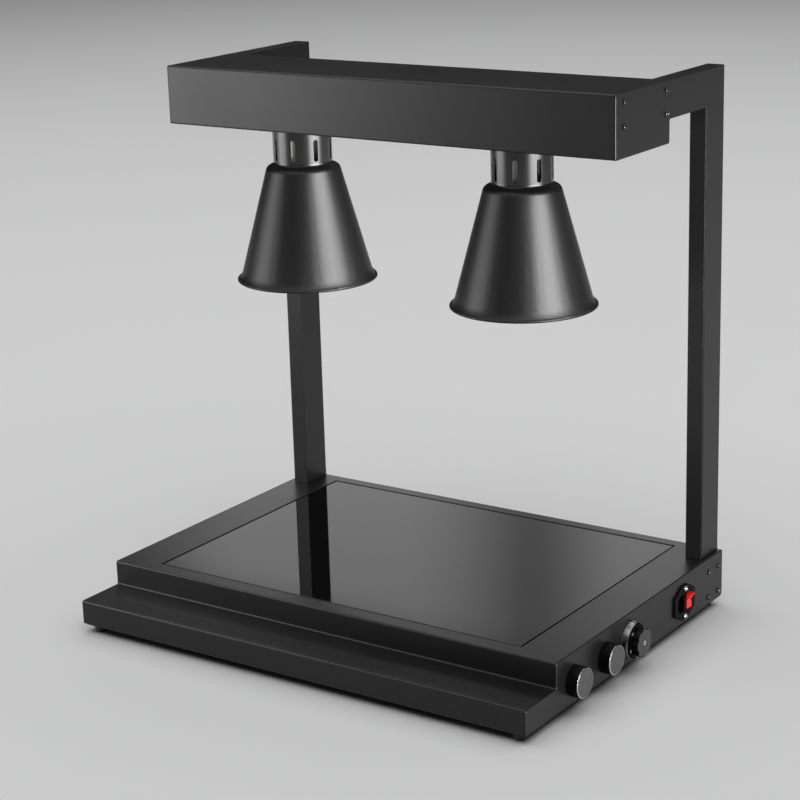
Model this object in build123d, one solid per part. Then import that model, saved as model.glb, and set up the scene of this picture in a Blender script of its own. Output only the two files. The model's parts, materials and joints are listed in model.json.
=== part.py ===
from build123d import *
import os
from math import atan2, cos, hypot, radians, sin, tan

os.makedirs("parts", exist_ok=True)

# Buffet food warmer: a heated glass base with a low front ledge, two rear posts, and a header
# with two heat lamps. Millimetres, +Z up, front towards -Y, controls on the +X side.

# Base body, folded from sheet
base_width = 720.0
base_depth = 541.0
base_height = 69.0
ledge_depth = 75.0
ledge_height = 34.5
sheet = 1.5
bend_radius = 2.5
rear_corner_radius = 6.0
base_lip = 28.0
cover_inset = 3.0
vent_length = 45.0
vent_width = 5.0
vent_pitch = 15.0
vents_per_row = 12

# Feet, under the bottom cover
foot_height = 10.5
foot_radius = 9.0
foot_taper = 1.0
foot_side_inset = 18.0
foot_end_inset = 16.0
foot_screw_seat = 5.5

# Screws, all of one size, and the fits
screw_radius = 2.0
screw_length = 12.0
screw_head_radius = 3.8
screw_head_height = 2.4
screw_head_dome = 1.4
screw_clearance = 0.1
slip = 0.3
running_clearance = 0.05

# Glass plate, let into the top
glass_side_margin = 64.0
glass_front_margin = 23.5
glass_rear_margin = 19.5
glass_recess = 0.4
glass_thickness = 4.0
glass_gap = 2.4
seal_width = 12.0
seal_thickness = 2.0

# Heater under the glass
tray_depth = 32.0
tray_rim = 4.0
spreader_thickness = 4.0
element_radius = 3.25
element_runs = 6
element_pitch = 60.0
element_margin = 14.0
element_tail = 12.0
packing_gap = 0.1
pillar_across = 10.0
sensor_radius = 3.0
sensor_length = 90.0
capillary_radius = 1.0
capillary_bend = 5.0

# Side frames: a flat plate with a post channel and an arm channel on its inner face
frame_inset = 7.0
frame_width = 25.0
frame_depth = 50.0
frame_top = 749.5
post_screw_height = 11.0
post_screw_rise = 37.0
post_screw_spread = 30.0

# Header between the side frames
header_front = 240.0
header_depth = 143.0
header_height = 81.0
header_lip = 32.0
header_screw_front = 22.5
header_screw_rear = 9.5
header_screw_rise = 30.0
header_screw_drop = 12.0

# Lamps
lamp_from_end = 183.0
shade_height = 216.8
shade_wall = 1.2
neck_radius = 41.0
neck_height = 52.2
neck_fillet = 5.0
shoulder_step = 10.0
shoulder_drop = 5.0
shoulder_round = 10.0
flare_radius = 90.6
flare_height = 14.0
rim_radius = 98.5
rim_bead = 2.0
slot_count = 8
slot_length = 30.0
slot_width = 6.4
slot_drop = 31.4
slot_phase = 18.0
holder_radius = 22.0
holder_height = 54.0
nipple_radius = 5.0
nipple_bore = 3.5
nipple_grip = 8.0
nipple_rise = 6.0
lamp_nut_across = 17.0
lamp_nut_height = 5.0
cap_radius = 13.2
cap_length = 26.0
bulb_radius = 62.5
bulb_length = 142.0
bulb_round = 26.0
bulb_waist = 44.0
bulb_side_round = 30.0
bulb_neck_radius = 15.0
bulb_neck_length = 14.0
bulb_neck_round = 15.0
bulb_wall = 1.5

# Controls on the right side plate: the knobs are placed from the front, the inlet from the rear
control_height = 31.5
dimmer_front_at = 116.0
dimmer_rear_at = 199.3
thermostat_at = 266.5
inlet_from_rear = 121.0

# Dimmers
dimmer_body_size = 28.0
dimmer_body_depth = 24.0
shaft_radius = 3.0
shaft_depth = 18.0
bush_radius = 4.8
bush_length = 6.0
bush_nut_across = 13.0
bush_nut_height = 2.5
knob_radius = 20.5
knob_gap = 1.0
knob_length = 15.8
knob_hollow_radius = 11.0
knob_hollow_depth = 7.0
knob_front_wall = 2.5
cap_thickness = 1.2
cap_rim = 0.3

# Thermostat
thermostat_body_width = 36.0
thermostat_body_depth = 32.0
thermostat_bush_length = 3.5
thermostat_screw_spread = 28.0
bezel_radius = 26.5
bezel_depth = 9.4
bezel_wall = 2.5
bezel_floor = 1.5
dial_gap = 0.6
dial_rise = 2.8
dial_thickness = 6.8
grip_radius = 19.5
grip_length = 10.0
grip_scallops = 8
grip_scallop_radius = 6.0
grip_scallop_depth = 1.4

# Mains inlet with its rocker switch
inlet_flange_width = 60.0
inlet_flange_height = 50.0
inlet_flange_edge = 26.0
inlet_ear_width = 16.0
inlet_flange = 3.0
inlet_body_width = 47.0
inlet_body_height = 27.5
inlet_body_depth = 26.0
inlet_screw_spread = 40.0
socket_width = 16.5
socket_height = 24.0
socket_corner = 5.0
socket_depth = 16.0
socket_offset = 11.0
pin_thickness = 2.0
pin_width = 4.0
pin_spread = 14.0
pin_stagger = 4.0
pin_sink = 4.5
pin_tail = 7.0
rocker_offset = 12.0
rocker_width = 13.4
rocker_half_height = 10.8
rocker_tip = 5.6
rocker_valley = 2.4
rocker_back = 5.0
rocker_tilt = 14.0
rocker_pivot_out = 1.0
rocker_bay_depth = 9.0
trunnion_radius = 1.5
trunnion_length = 1.2

# Terminal blocks and leads
block_length = 30.0
block_width = 24.0
block_height = 18.0
block_post_gap = 12.0
block_bore = 2.2
block_ways = 3
supply_lead_radius = 3.5
supply_lead_bend = 16.0
lamp_lead_radius = 2.5
lamp_lead_bend = 12.0
lamp_lead_height = 38.0
lead_hole_room = 1.0

# Places that follow from the sizes above
thermostat_reach = bezel_depth + dial_rise + grip_length
x_left = -(base_width + thermostat_reach - screw_head_height) / 2
x_right = x_left + base_width
x_mid = (x_left + x_right) / 2
y_front = -base_depth / 2
y_rear = base_depth / 2
y_step = y_front + ledge_depth
z_cover = foot_height
z_base = z_cover + sheet
z_ledge = z_base + ledge_height
z_deck = z_base + base_height
z_glass = z_deck - glass_recess
z_seal = z_glass - glass_thickness
z_seat = z_seal - seal_thickness
z_tray = z_seat - tray_depth
z_element = z_seal - spreader_thickness - packing_gap - element_radius
z_control = z_base + control_height
z_frame_top = z_base + frame_top
z_arm = z_frame_top - frame_depth
z_arm_middle = z_frame_top - frame_depth / 2
z_header = z_frame_top - header_height
z_rim = z_header - shade_height
z_holder = z_header - shade_wall - holder_height
z_cap = z_holder - slip
z_bulb = z_cap - bulb_length
z_post = z_base + rear_corner_radius
y_post = (y_rear - sheet - frame_depth, y_rear - sheet)
y_post_middle = sum(y_post) / 2
y_header = (y_front + header_front, y_front + header_front + header_depth)
y_lamp = sum(y_header) / 2
opening_x = (x_left + glass_side_margin, x_right - glass_side_margin)
opening_y = (y_step + glass_front_margin, y_rear - glass_rear_margin)
inside_x = (x_left + sheet, x_right - sheet)
header_x = (x_left + frame_inset + sheet, x_right - frame_inset - sheet)
supply_x = x_right - frame_inset - frame_width / 2
y_block = y_post[0] - block_post_gap - block_length / 2
z_lead = z_base + block_height / 2
sides = {"left": -1, "right": 1}
lamp_x = {name: x_mid + side * (base_width / 2 - lamp_from_end) for name, side in sides.items()}
dimmer_y = {"front": y_front + dimmer_front_at, "rear": y_front + dimmer_rear_at}
y_thermostat = y_front + thermostat_at
y_inlet = y_rear - inlet_from_rear
low_end = (Align.CENTER, Align.CENTER, Align.MIN)


def grow(pair, amount):
    """A low and high pair, widened by amount at each end."""
    return (pair[0] - amount, pair[1] + amount)


def around(middle, size):
    """The low and high pair of a size about its middle."""
    return (middle - size / 2, middle + size / 2)


def inward(side, near, far):
    """The X pair between two distances inward from the base's outer face on one side."""
    if side < 0:
        return (x_left + near, x_left + far)
    return (x_right - far, x_right - near)


def outward(near, far):
    """The X pair between two distances outward from the right side plate."""
    return (x_right + near, x_right + far)


def block(x, y, z):
    """A box between three low and high pairs."""
    size = [pair[1] - pair[0] for pair in (x, y, z)]
    middle = [sum(pair) / 2 for pair in (x, y, z)]
    return Pos(*middle) * Box(*size)


def rod_x(radius, x, y, z):
    """A round bar along X."""
    return Pos(x[0], y, z) * Rot(0, 90, 0) * Cylinder(radius, x[1] - x[0], align=low_end)


def rod_y(radius, x, y, z):
    """A round bar along Y."""
    return Pos(x, y[0], z) * Rot(-90, 0, 0) * Cylinder(radius, y[1] - y[0], align=low_end)


def rod_z(radius, x, y, z):
    """A round bar along Z."""
    return Pos(x, y, z[0]) * Cylinder(radius, z[1] - z[0], align=low_end)


def hex_bar(across, height):
    """A hexagonal bar on the Z axis, from zero up."""
    return extrude(RegularPolygon(across / 2, 6, major_radius=False), height)


def rounded_outline(points, radii):
    """A closed face with each corner rounded by its own radius."""
    return make_face(FilletPolyline(*points, radius=radii, close=True))


def plate_x(outline, x):
    """An outline drawn in Y and Z, made solid between the X pair."""
    return extrude(Plane.YZ.offset(x[0]) * outline, x[1] - x[0])


def rectangle(y, z):
    """A rectangle in Y and Z between two pairs."""
    return Pos(sum(y) / 2, sum(z) / 2) * Rectangle(y[1] - y[0], z[1] - z[0])


def turned(points, radii, x, y):
    """A solid of revolution about the vertical line at x and y, from radius and height points."""
    return Pos(x, y, 0) * revolve(Plane.XZ * rounded_outline(points, radii), Axis.Z)


def lead(points, radius, bend):
    """A round lead along straight runs joined by arcs."""
    route = FilletPolyline(*points, radius=bend)
    return sweep(Plane(origin=route @ 0, z_dir=route % 0) * Circle(radius), path=route)


def group(solids):
    """Separate solids held in one node."""
    return Compound(children=list(solids))


# Screws


def screw():
    """A pan head screw on the Z axis, with its head above zero."""
    head = Cylinder(screw_head_radius, screw_head_height, align=low_end)
    head = fillet(head.edges().sort_by(Axis.Z)[-1], min(screw_head_dome, 0.9 * screw_head_height))
    return head + rod_z(screw_radius, 0, 0, (-screw_length, 0))


def screw_hole_x(x, y, z):
    return rod_x(screw_radius + screw_clearance, x, y, z)


def screw_hole_z(x, y, z):
    return rod_z(screw_radius + screw_clearance, x, y, z)


def screw_below(x, y, z):
    """A screw driven upwards, its head under the height z."""
    return Pos(x, y, z) * Rot(180, 0, 0) * screw()


def screw_beside(side, x, y, z):
    """A screw driven inwards from one side, its head outside the place x."""
    return Pos(x, y, z) * Rot(0, 90 * side, 0) * screw()


def side_face(side, inset):
    """The X of a face that stands an inset inward from the base's side."""
    return side * (base_width / 2 - inset) + x_mid


# Where the screws go


def foot_points():
    xs = (x_left + foot_side_inset, x_right - foot_side_inset)
    ys = (y_front + foot_end_inset, y_rear - foot_end_inset)
    return [(x, y) for x in xs for y in ys]


def cover_screw_points():
    xs = (x_mid - base_width / 4, x_mid, x_mid + base_width / 4)
    ys = (y_front + base_lip / 2, y_rear - base_lip / 2)
    return [(x, y) for x in xs for y in ys]


def pillar_points():
    cavity_x, cavity_y = tray_cavity()
    xs = (cavity_x[0] + pillar_across, x_mid, cavity_x[1] - pillar_across)
    ys = (cavity_y[0] + pillar_across, cavity_y[1] - pillar_across)
    return [(x, y) for x in xs for y in ys]


def post_screw_points():
    ys = around(y_post_middle, post_screw_spread)
    zs = (z_base + post_screw_height, z_base + post_screw_height + post_screw_rise)
    return [(y, z) for y in ys for z in zs]


def header_screw_points():
    ys = (y_header[0] + header_screw_front, y_header[1] - header_screw_rear)
    zs = (z_frame_top - header_screw_drop, z_frame_top - header_screw_drop - header_screw_rise)
    return [(y, z) for y in ys for z in zs]


def header_cover_points():
    inset = sheet + header_lip / 2
    ys = (y_header[0] + inset, y_header[1] - inset)
    xs = (header_x[0] + inset, x_mid, header_x[1] - inset)
    return [(x, y) for x in xs for y in ys]


# Base


def base_outline():
    """The stepped outline of the base, seen from its side."""
    points = [
        (y_front, z_base),
        (y_front, z_ledge),
        (y_step, z_ledge),
        (y_step, z_deck),
        (y_rear, z_deck),
        (y_rear, z_base),
    ]
    return rounded_outline(points, [bend_radius] * 5 + [rear_corner_radius])


def base_shell():
    """Front, ledge, riser, deck and rear in one folded sheet, with a lip down round the glass."""
    outline = base_outline()
    mouth = rectangle(grow((y_front, y_rear), -base_lip), around(z_base, 4 * sheet))
    shell = plate_x(outline - offset(outline, amount=-sheet) - mouth, inside_x)
    shell += block(grow(opening_x, sheet), grow(opening_y, sheet), (z_seat, z_deck))
    shell -= block(opening_x, opening_y, (z_seat, z_deck + sheet))
    for side in sides.values():
        x = grow(inward(side, frame_inset, frame_inset + frame_width), slip)
        shell -= block(x, (y_post[0] - slip, y_post[1]), (z_deck - 2 * bend_radius, z_deck + sheet))
    for x, y in foot_points() + cover_screw_points():
        shell -= screw_hole_z(x, y, (z_cover, z_base + 2 * sheet))
    return shell


def side_plate(side):
    """A flat plate that closes one end of the base."""
    x = inward(side, 0, sheet)
    plate = plate_x(base_outline(), x)
    for y, z in post_screw_points():
        plate -= screw_hole_x(x, y, z)
    if side < 0:
        return plate
    for y in dimmer_y.values():
        plate -= rod_x(bush_radius + slip, x, y, z_control)
    plate -= rod_x(bush_radius + slip, x, y_thermostat, z_control)
    for y in around(y_thermostat, thermostat_screw_spread):
        plate -= screw_hole_x(x, y, z_control)
    y = grow(around(y_inlet, inlet_body_width), slip)
    plate -= block(x, y, grow(around(z_control, inlet_body_height), slip))
    for z in around(z_control, inlet_screw_spread):
        plate -= screw_hole_x(x, y_inlet, z)
    return plate


def bottom_cover():
    """A flat cover under the base, with two rows of vents below the heater tray."""
    x = grow((x_left, x_right), -cover_inset)
    y = grow((y_front, y_rear), -cover_inset)
    cover = block(x, y, (z_cover, z_base))
    vent = Pos(0, 0, z_cover) * extrude(SlotOverall(vent_length, vent_width, rotation=90), sheet)
    for row in opening_y_rows():
        for index in range(vents_per_row):
            along = (index - (vents_per_row - 1) / 2) * vent_pitch
            cover -= Pos(x_mid + along, row, 0) * vent
    for x, y in foot_points() + cover_screw_points() + pillar_points():
        cover -= screw_hole_z(x, y, (z_cover, z_base))
    return cover


def opening_y_rows():
    """The two Y lines of the vents, a quarter of the way in from each end of the glass."""
    quarter = (opening_y[1] - opening_y[0]) / 4
    return grow(opening_y, -quarter)


def foot(x, y):
    """A tapered rubber foot with a counterbored screw hole."""
    bore = screw_radius + screw_clearance
    counterbore = screw_head_radius + slip
    seat = foot_height - foot_screw_seat
    points = [
        (counterbore, 0),
        (foot_radius - foot_taper, 0),
        (foot_radius, foot_height),
        (bore, foot_height),
        (bore, seat),
        (counterbore, seat),
    ]
    return Pos(x, y, 0) * revolve(Plane.XZ * make_face(Polyline(*points, close=True)), Axis.Z)


def base_screws():
    """Screws of the bottom cover, of the tray pillars and of the feet."""
    screws = [screw_below(x, y, z_cover) for x, y in cover_screw_points() + pillar_points()]
    seat = foot_height - foot_screw_seat
    return group(screws + [screw_below(x, y, seat) for x, y in foot_points()])


# Glass and heater


def glass_area():
    return grow(opening_x, -glass_gap), grow(opening_y, -glass_gap)


def tray_cavity():
    """The room inside the seal and the tray."""
    glass_x, glass_y = glass_area()
    return grow(glass_x, -seal_width), grow(glass_y, -seal_width)


def glass_plate():
    return block(*glass_area(), (z_seal, z_glass))


def glass_seal():
    z = (z_seat, z_seal)
    return block(*glass_area(), z) - block(*tray_cavity(), z)


def heat_spreader():
    cavity_x, cavity_y = tray_cavity()
    return block(grow(cavity_x, -slip), grow(cavity_y, -slip), (z_seal - spreader_thickness, z_seal))


def element_y():
    return [y_opening() + (run - (element_runs - 1) / 2) * element_pitch for run in range(element_runs)]


def y_opening():
    return sum(opening_y) / 2


def heating_element():
    """A bent tube of parallel runs, with both tails out of the tray on the right."""
    cavity_x, _ = tray_cavity()
    turn = element_pitch / 2
    bend_x = grow(cavity_x, -element_margin - turn)
    tail_x = cavity_x[1] + sheet + element_tail
    rows = element_y()
    edges = []
    for run, y in enumerate(rows):
        end = tail_x if run in (0, element_runs - 1) else bend_x[1]
        edges.append(Line((bend_x[0], y, z_element), (end, y, z_element)))
        if run + 1 < element_runs:
            reach = (bend_x[0] - turn) if run % 2 == 0 else (bend_x[1] + turn)
            x = bend_x[run % 2]
            start = (x, y, z_element)
            middle = (reach, y + turn, z_element)
            edges.append(ThreePointArc(start, middle, (x, y + element_pitch, z_element)))
    route = Wire(edges)
    section = Plane(origin=(tail_x, rows[0], z_element), z_dir=(-1, 0, 0)) * Circle(element_radius)
    return sweep(section, path=route)


def insulation_mat():
    cavity_x, cavity_y = tray_cavity()
    top = z_element - element_radius - packing_gap
    return block(grow(cavity_x, -slip), grow(cavity_y, -slip), (z_tray + sheet, top))


def heater_tray():
    """A pan that hangs under the glass, with holes for the element's tails and the sensor."""
    cavity_x, cavity_y = tray_cavity()
    rim = sheet + tray_rim
    tray = block(grow(cavity_x, sheet), grow(cavity_y, sheet), (z_tray, z_seat))
    tray += block(grow(opening_x, rim), grow(opening_y, rim), (z_seat - sheet, z_seat))
    tray -= block(cavity_x, cavity_y, (z_tray + sheet, z_seat))
    wall = (cavity_x[1], cavity_x[1] + sheet)
    for y in (element_y()[0], element_y()[-1]):
        tray -= rod_x(element_radius + slip, wall, y, z_element)
    return tray - rod_x(capillary_radius + slip, wall, y_opening(), z_element)


def tray_pillars():
    """Hexagonal pillars between the bottom cover and the tray."""
    pillar = hex_bar(pillar_across, z_tray - z_base)
    pillar -= screw_hole_z(0, 0, (0, screw_length - sheet + screw_clearance))
    return group(Pos(x, y, z_base) * pillar for x, y in pillar_points())


def thermostat_sensor():
    """A sensing rod in the middle lane of the element, with its capillary to the thermostat."""
    cavity_x, _ = tray_cavity()
    rod_end = cavity_x[1] - element_margin
    y = y_opening()
    bend_x = cavity_x[1] + sheet + element_tail
    body_x = x_right - sheet - thermostat_body_depth
    route = [
        (rod_end, y, z_element),
        (bend_x, y, z_element),
        (body_x - element_tail, y_thermostat, z_control),
        (body_x, y_thermostat, z_control),
    ]
    rod = rod_x(sensor_radius, (rod_end - sensor_length, rod_end), y, z_element)
    return rod + lead(route, capillary_radius, capillary_bend)


# Side frames


def frame_plate(side):
    """The flat outer plate of one side: post, arm and header end in one sheet."""
    points = [
        (y_post[0], z_post),
        (y_post[0], z_arm),
        (y_header[1], z_arm),
        (y_header[1], z_header),
        (y_header[0], z_header),
        (y_header[0], z_frame_top),
        (y_post[1], z_frame_top),
        (y_post[1], z_post),
    ]
    radii = [0, bend_radius, bend_radius, bend_radius, bend_radius, bend_radius, 0, 0]
    x = inward(side, frame_inset, frame_inset + sheet)
    plate = plate_x(rounded_outline(points, radii), x)
    for y, z in post_screw_points() + header_screw_points():
        plate -= screw_hole_x(x, y, z)
    return plate


def channel(side, y, z, hollow_y, hollow_z):
    """A channel on the inner face of a frame plate, open towards the plate."""
    outside = block(inward(side, frame_inset + sheet, frame_inset + frame_width), y, z)
    return outside - block(inward(side, frame_inset, frame_inset + frame_width - sheet), hollow_y, hollow_z)


def mitre(side, corner):
    """The wedge that a mitred channel loses: the half of the corner square at one of its corners."""
    points = [(y_post[0], z_arm), (y_post[1], z_frame_top), corner]
    outline = make_face(Polyline(*points, close=True))
    return plate_x(outline, inward(side, frame_inset, frame_inset + frame_width + sheet))


def post(side):
    z = (z_post, z_frame_top)
    tube = channel(side, y_post, z, grow(y_post, -sheet), z) - mitre(side, (y_post[0], z_frame_top))
    if side > 0:
        wall = (y_post[0], y_post[0] + sheet)
        tube -= rod_y(supply_lead_radius + lead_hole_room, supply_x, wall, z_lead)
    return tube


def arm(side):
    y = (y_header[1], y_post[1])
    z = (z_arm, z_frame_top)
    return channel(side, y, z, y, grow(z, -sheet)) - mitre(side, (y_post[1], z_arm))


def post_packer(side):
    """A spacer between the side plate and the frame plate, drilled for the post screws."""
    x = inward(side, sheet, frame_inset)
    packer = block(x, y_post, (z_post, z_deck - 2 * bend_radius))
    for y, z in post_screw_points():
        packer -= screw_hole_x(x, y, z)
    return packer


def post_screws():
    return group(
        screw_beside(side, side_face(side, 0), y, z)
        for side in sides.values()
        for y, z in post_screw_points()
    )


# Header


def header_outline():
    points = [
        (y_header[0], z_header),
        (y_header[0], z_frame_top),
        (y_header[1], z_frame_top),
        (y_header[1], z_header),
    ]
    return rounded_outline(points, [bend_radius] * 4)


def header_shell():
    """A folded box with ends, open below, with two lips for the cover."""
    outline = header_outline()
    shell = plate_x(outline, header_x)
    shell -= plate_x(offset(outline, amount=-sheet), grow(header_x, -sheet))
    inside_y = grow(y_header, -sheet)
    shell -= block(grow(header_x, -sheet), inside_y, (z_header, z_header + 2 * bend_radius))
    lip_z = (z_header + sheet, z_header + 2 * sheet)
    shell += block(header_x, (inside_y[0], inside_y[0] + header_lip), lip_z)
    shell += block(header_x, (inside_y[1] - header_lip, inside_y[1]), lip_z)
    for side in sides.values():
        x = inward(side, frame_inset + sheet, frame_inset + 2 * sheet)
        for y, z in header_screw_points():
            shell -= screw_hole_x(x, y, z)
    for x, y in header_cover_points():
        shell -= screw_hole_z(x, y, lip_z)
    wall = (y_header[1] - sheet, y_header[1])
    return shell - rod_y(supply_lead_radius + lead_hole_room, supply_x, wall, z_arm_middle)


def header_cover():
    """The plate under the header that carries the lamps."""
    z = (z_header, z_header + sheet)
    cover = block(grow(header_x, -sheet - slip), grow(y_header, -sheet - slip), z)
    for x, y in header_cover_points():
        cover -= screw_hole_z(x, y, z)
    for x in lamp_x.values():
        cover -= rod_z(nipple_radius + slip, x, y_lamp, z)
    return cover


def header_screws():
    """Screws of the header's ends and of its cover."""
    screws = [screw_below(x, y, z_header) for x, y in header_cover_points()]
    for side in sides.values():
        face = side_face(side, frame_inset)
        screws += [screw_beside(side, face, y, z) for y, z in header_screw_points()]
    return group(screws)


# Lamps


def shade_outline():
    """Outer line of a shade from its top to its rim, closed to the axis."""
    shoulder_radius = neck_radius + shoulder_step
    z_neck = z_header - neck_height
    z_shoulder = z_neck - shoulder_drop
    z_flare = z_rim + flare_height
    brow_lean = atan2(shoulder_step, shoulder_drop)
    cone_lean = atan2(flare_radius - shoulder_radius, z_shoulder - z_flare)
    brow = (sin(brow_lean), -cos(brow_lean))
    slope = (sin(cone_lean), -cos(cone_lean))
    neck_in = neck_fillet * tan(brow_lean / 2)
    round_in = shoulder_round * tan((brow_lean - cone_lean) / 2)
    neck_end = (neck_radius, z_neck + neck_in)
    brow_top = (neck_radius + brow[0] * neck_in, z_neck + brow[1] * neck_in)
    brow_end = (shoulder_radius - brow[0] * round_in, z_shoulder - brow[1] * round_in)
    cone_top = (shoulder_radius + slope[0] * round_in, z_shoulder + slope[1] * round_in)
    cone_end = (flare_radius, z_flare)
    rim = (rim_radius - rim_bead, z_rim + rim_bead)
    edges = [
        Line((0, z_header), (neck_radius, z_header)),
        Line((neck_radius, z_header), neck_end),
        TangentArc(neck_end, brow_top, tangent=(0, -1)),
        Line(brow_top, brow_end),
        TangentArc(brow_end, cone_top, tangent=brow),
        Line(cone_top, cone_end),
        TangentArc(cone_end, rim, tangent=slope),
        Line(rim, (0, rim[1])),
        Line((0, rim[1]), (0, z_header)),
    ]
    return make_face(edges)


def lamp_shade(x):
    """A spun shade: slotted neck, sloping shoulder, cone and flared rim with a rolled bead."""
    solid = revolve(Plane.XZ * shade_outline(), Axis.Z)
    shade = offset(solid, amount=-shade_wall, openings=solid.faces().sort_by(Axis.Z)[0])
    bead = Pos(rim_radius - rim_bead, z_rim + rim_bead) * Circle(rim_bead)
    shade += revolve(Plane.XZ * bead, Axis.Z)
    shade -= rod_z(nipple_radius + slip, 0, 0, (z_header - 2 * shade_wall, z_header))
    for index in range(slot_count):
        angle = radians(slot_phase + index * 360 / slot_count)
        face = Plane(
            origin=(0, 0, z_header - slot_drop),
            x_dir=(0, 0, 1),
            z_dir=(cos(angle), sin(angle), 0),
        )
        shade -= extrude(face * SlotOverall(slot_length, slot_width), neck_radius + shade_wall)
    return Pos(x, y_lamp, 0) * shade


def lamp_holder(x):
    """A ceramic lamp holder in the neck, with a threaded seat above and a socket below."""
    top = z_header - shade_wall
    holder = rod_z(holder_radius, x, y_lamp, (z_holder, top))
    holder -= rod_z(cap_radius + slip, x, y_lamp, (z_holder, z_holder + cap_length))
    return holder - rod_z(nipple_radius + screw_clearance, x, y_lamp, (top - nipple_grip, top))


def nipple_span():
    top = z_header + sheet + lamp_nut_height + nipple_rise
    return (z_header - shade_wall - nipple_grip, top)


def lamp_nipple(x):
    """The threaded tube that hangs a lamp on the header cover."""
    return rod_z(nipple_radius, x, y_lamp, nipple_span()) - rod_z(nipple_bore, x, y_lamp, nipple_span())


def lamp_nuts():
    nut = hex_bar(lamp_nut_across, lamp_nut_height)
    nut -= rod_z(nipple_radius + screw_clearance, 0, 0, (0, lamp_nut_height))
    return group(Pos(x, y_lamp, z_header + sheet) * nut for x in lamp_x.values())


def bulb_body(x, inset):
    """The turned body of a reflector bulb, drawn in from its surface by inset."""
    waist = z_bulb + bulb_waist
    neck = z_cap - bulb_neck_length
    points = [
        (0, z_bulb + inset),
        (bulb_radius - inset, z_bulb + inset),
        (bulb_radius - inset, waist),
        (bulb_neck_radius - inset, neck),
        (bulb_neck_radius - inset, z_cap),
        (0, z_cap),
    ]
    return turned(points, [0, bulb_round - inset, bulb_side_round, bulb_neck_round, 0, 0], x, y_lamp)


def bulb(x):
    """The glass envelope, open at the top where its cap closes it."""
    return bulb_body(x, 0) - bulb_body(x, bulb_wall)


def bulb_cap(x):
    return rod_z(cap_radius, x, y_lamp, (z_cap, z_cap + cap_length))


# Controls


def bored_body(y, width, depth, bush):
    """A control's body behind the side plate, with its bush through the plate and its shaft bore."""
    body = block(outward(-sheet - depth, -sheet), around(y, width), around(z_control, width))
    body += rod_x(bush_radius, outward(-sheet, bush), y, z_control)
    bore = outward(-sheet - shaft_depth - slip, bush)
    return body - rod_x(shaft_radius + running_clearance, bore, y, z_control)


def dimmer_body(y):
    return bored_body(y, dimmer_body_size, dimmer_body_depth, bush_length)


def dimmer_nuts():
    nut = hex_bar(bush_nut_across, bush_nut_height)
    nut -= rod_z(bush_radius + screw_clearance, 0, 0, (0, bush_nut_height))
    return group(Pos(x_right, y, z_control) * Rot(0, 90, 0) * nut for y in dimmer_y.values())


def knob_span():
    return outward(knob_gap, knob_gap + knob_length)


def knob_shaft(y, front):
    """A control shaft from its body to the place front."""
    return rod_x(shaft_radius, (x_right - sheet - shaft_depth, front), y, z_control)


def dimmer_shaft(y):
    return knob_shaft(y, knob_span()[1] - knob_front_wall)


def dimmer_knob(y):
    """A plain round knob, hollow behind for the bush and its nut."""
    back, front = knob_span()
    knob = rod_x(knob_radius, (back, front), y, z_control)
    knob -= rod_x(knob_hollow_radius, (back, back + knob_hollow_depth), y, z_control)
    return knob - rod_x(shaft_radius, (back, front - knob_front_wall), y, z_control)


def dimmer_cap(y):
    front = knob_span()[1]
    return rod_x(knob_radius - cap_rim, (front, front + cap_thickness), y, z_control)


def thermostat_body():
    body = bored_body(y_thermostat, thermostat_body_width, thermostat_body_depth, thermostat_bush_length)
    hole = outward(-screw_length, 0)
    for y in around(y_thermostat, thermostat_screw_spread):
        body -= screw_hole_x(hole, y, z_control)
    return body


def thermostat_bezel():
    """A bright cup round the thermostat's dial, open in front."""
    bezel = rod_x(bezel_radius, outward(0, bezel_depth), y_thermostat, z_control)
    cup = outward(bezel_floor, bezel_depth)
    bezel -= rod_x(bezel_radius - bezel_wall, cup, y_thermostat, z_control)
    floor = outward(0, bezel_floor)
    bezel -= rod_x(bush_radius + slip, floor, y_thermostat, z_control)
    for y in around(y_thermostat, thermostat_screw_spread):
        bezel -= screw_hole_x(floor, y, z_control)
    return bezel


def thermostat_screws():
    x = x_right + bezel_floor
    return group(screw_beside(1, x, y, z_control) for y in around(y_thermostat, thermostat_screw_spread))


def dial_span():
    front = bezel_depth + dial_rise
    return outward(front - dial_thickness, front)


def grip_front():
    return x_right + thermostat_reach


def thermostat_shaft():
    return knob_shaft(y_thermostat, grip_front() - knob_front_wall)


def thermostat_dial():
    """The numbered skirt that turns with the grip and stands a little out of the bezel."""
    dial = rod_x(bezel_radius - bezel_wall - dial_gap, dial_span(), y_thermostat, z_control)
    return dial - rod_x(shaft_radius, dial_span(), y_thermostat, z_control)


def thermostat_grip():
    """A scalloped grip in front of the dial."""
    outline = Circle(grip_radius)
    reach = grip_radius + grip_scallop_radius - grip_scallop_depth
    for index in range(grip_scallops):
        angle = radians((index + 0.5) * 360 / grip_scallops)
        outline -= Pos(reach * cos(angle), reach * sin(angle)) * Circle(grip_scallop_radius)
    x = (dial_span()[1], grip_front())
    grip = plate_x(Pos(y_thermostat, z_control) * outline, x)
    return grip - rod_x(shaft_radius, (x[0], x[1] - knob_front_wall), y_thermostat, z_control)


# Mains inlet and switch


def inlet_outline():
    """The flange's outline: a wide middle with a narrower ear above and below."""
    half = inlet_flange_width / 2
    edge = inlet_flange_edge / 2
    top = inlet_flange_height / 2
    ear = inlet_ear_width / 2
    quarter = [(half, edge), (ear, top), (-ear, top), (-half, edge)]
    points = quarter + [(-y, -z) for y, z in quarter]
    return Pos(y_inlet, z_control) * rounded_outline(points, [bend_radius] * len(points))


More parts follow.
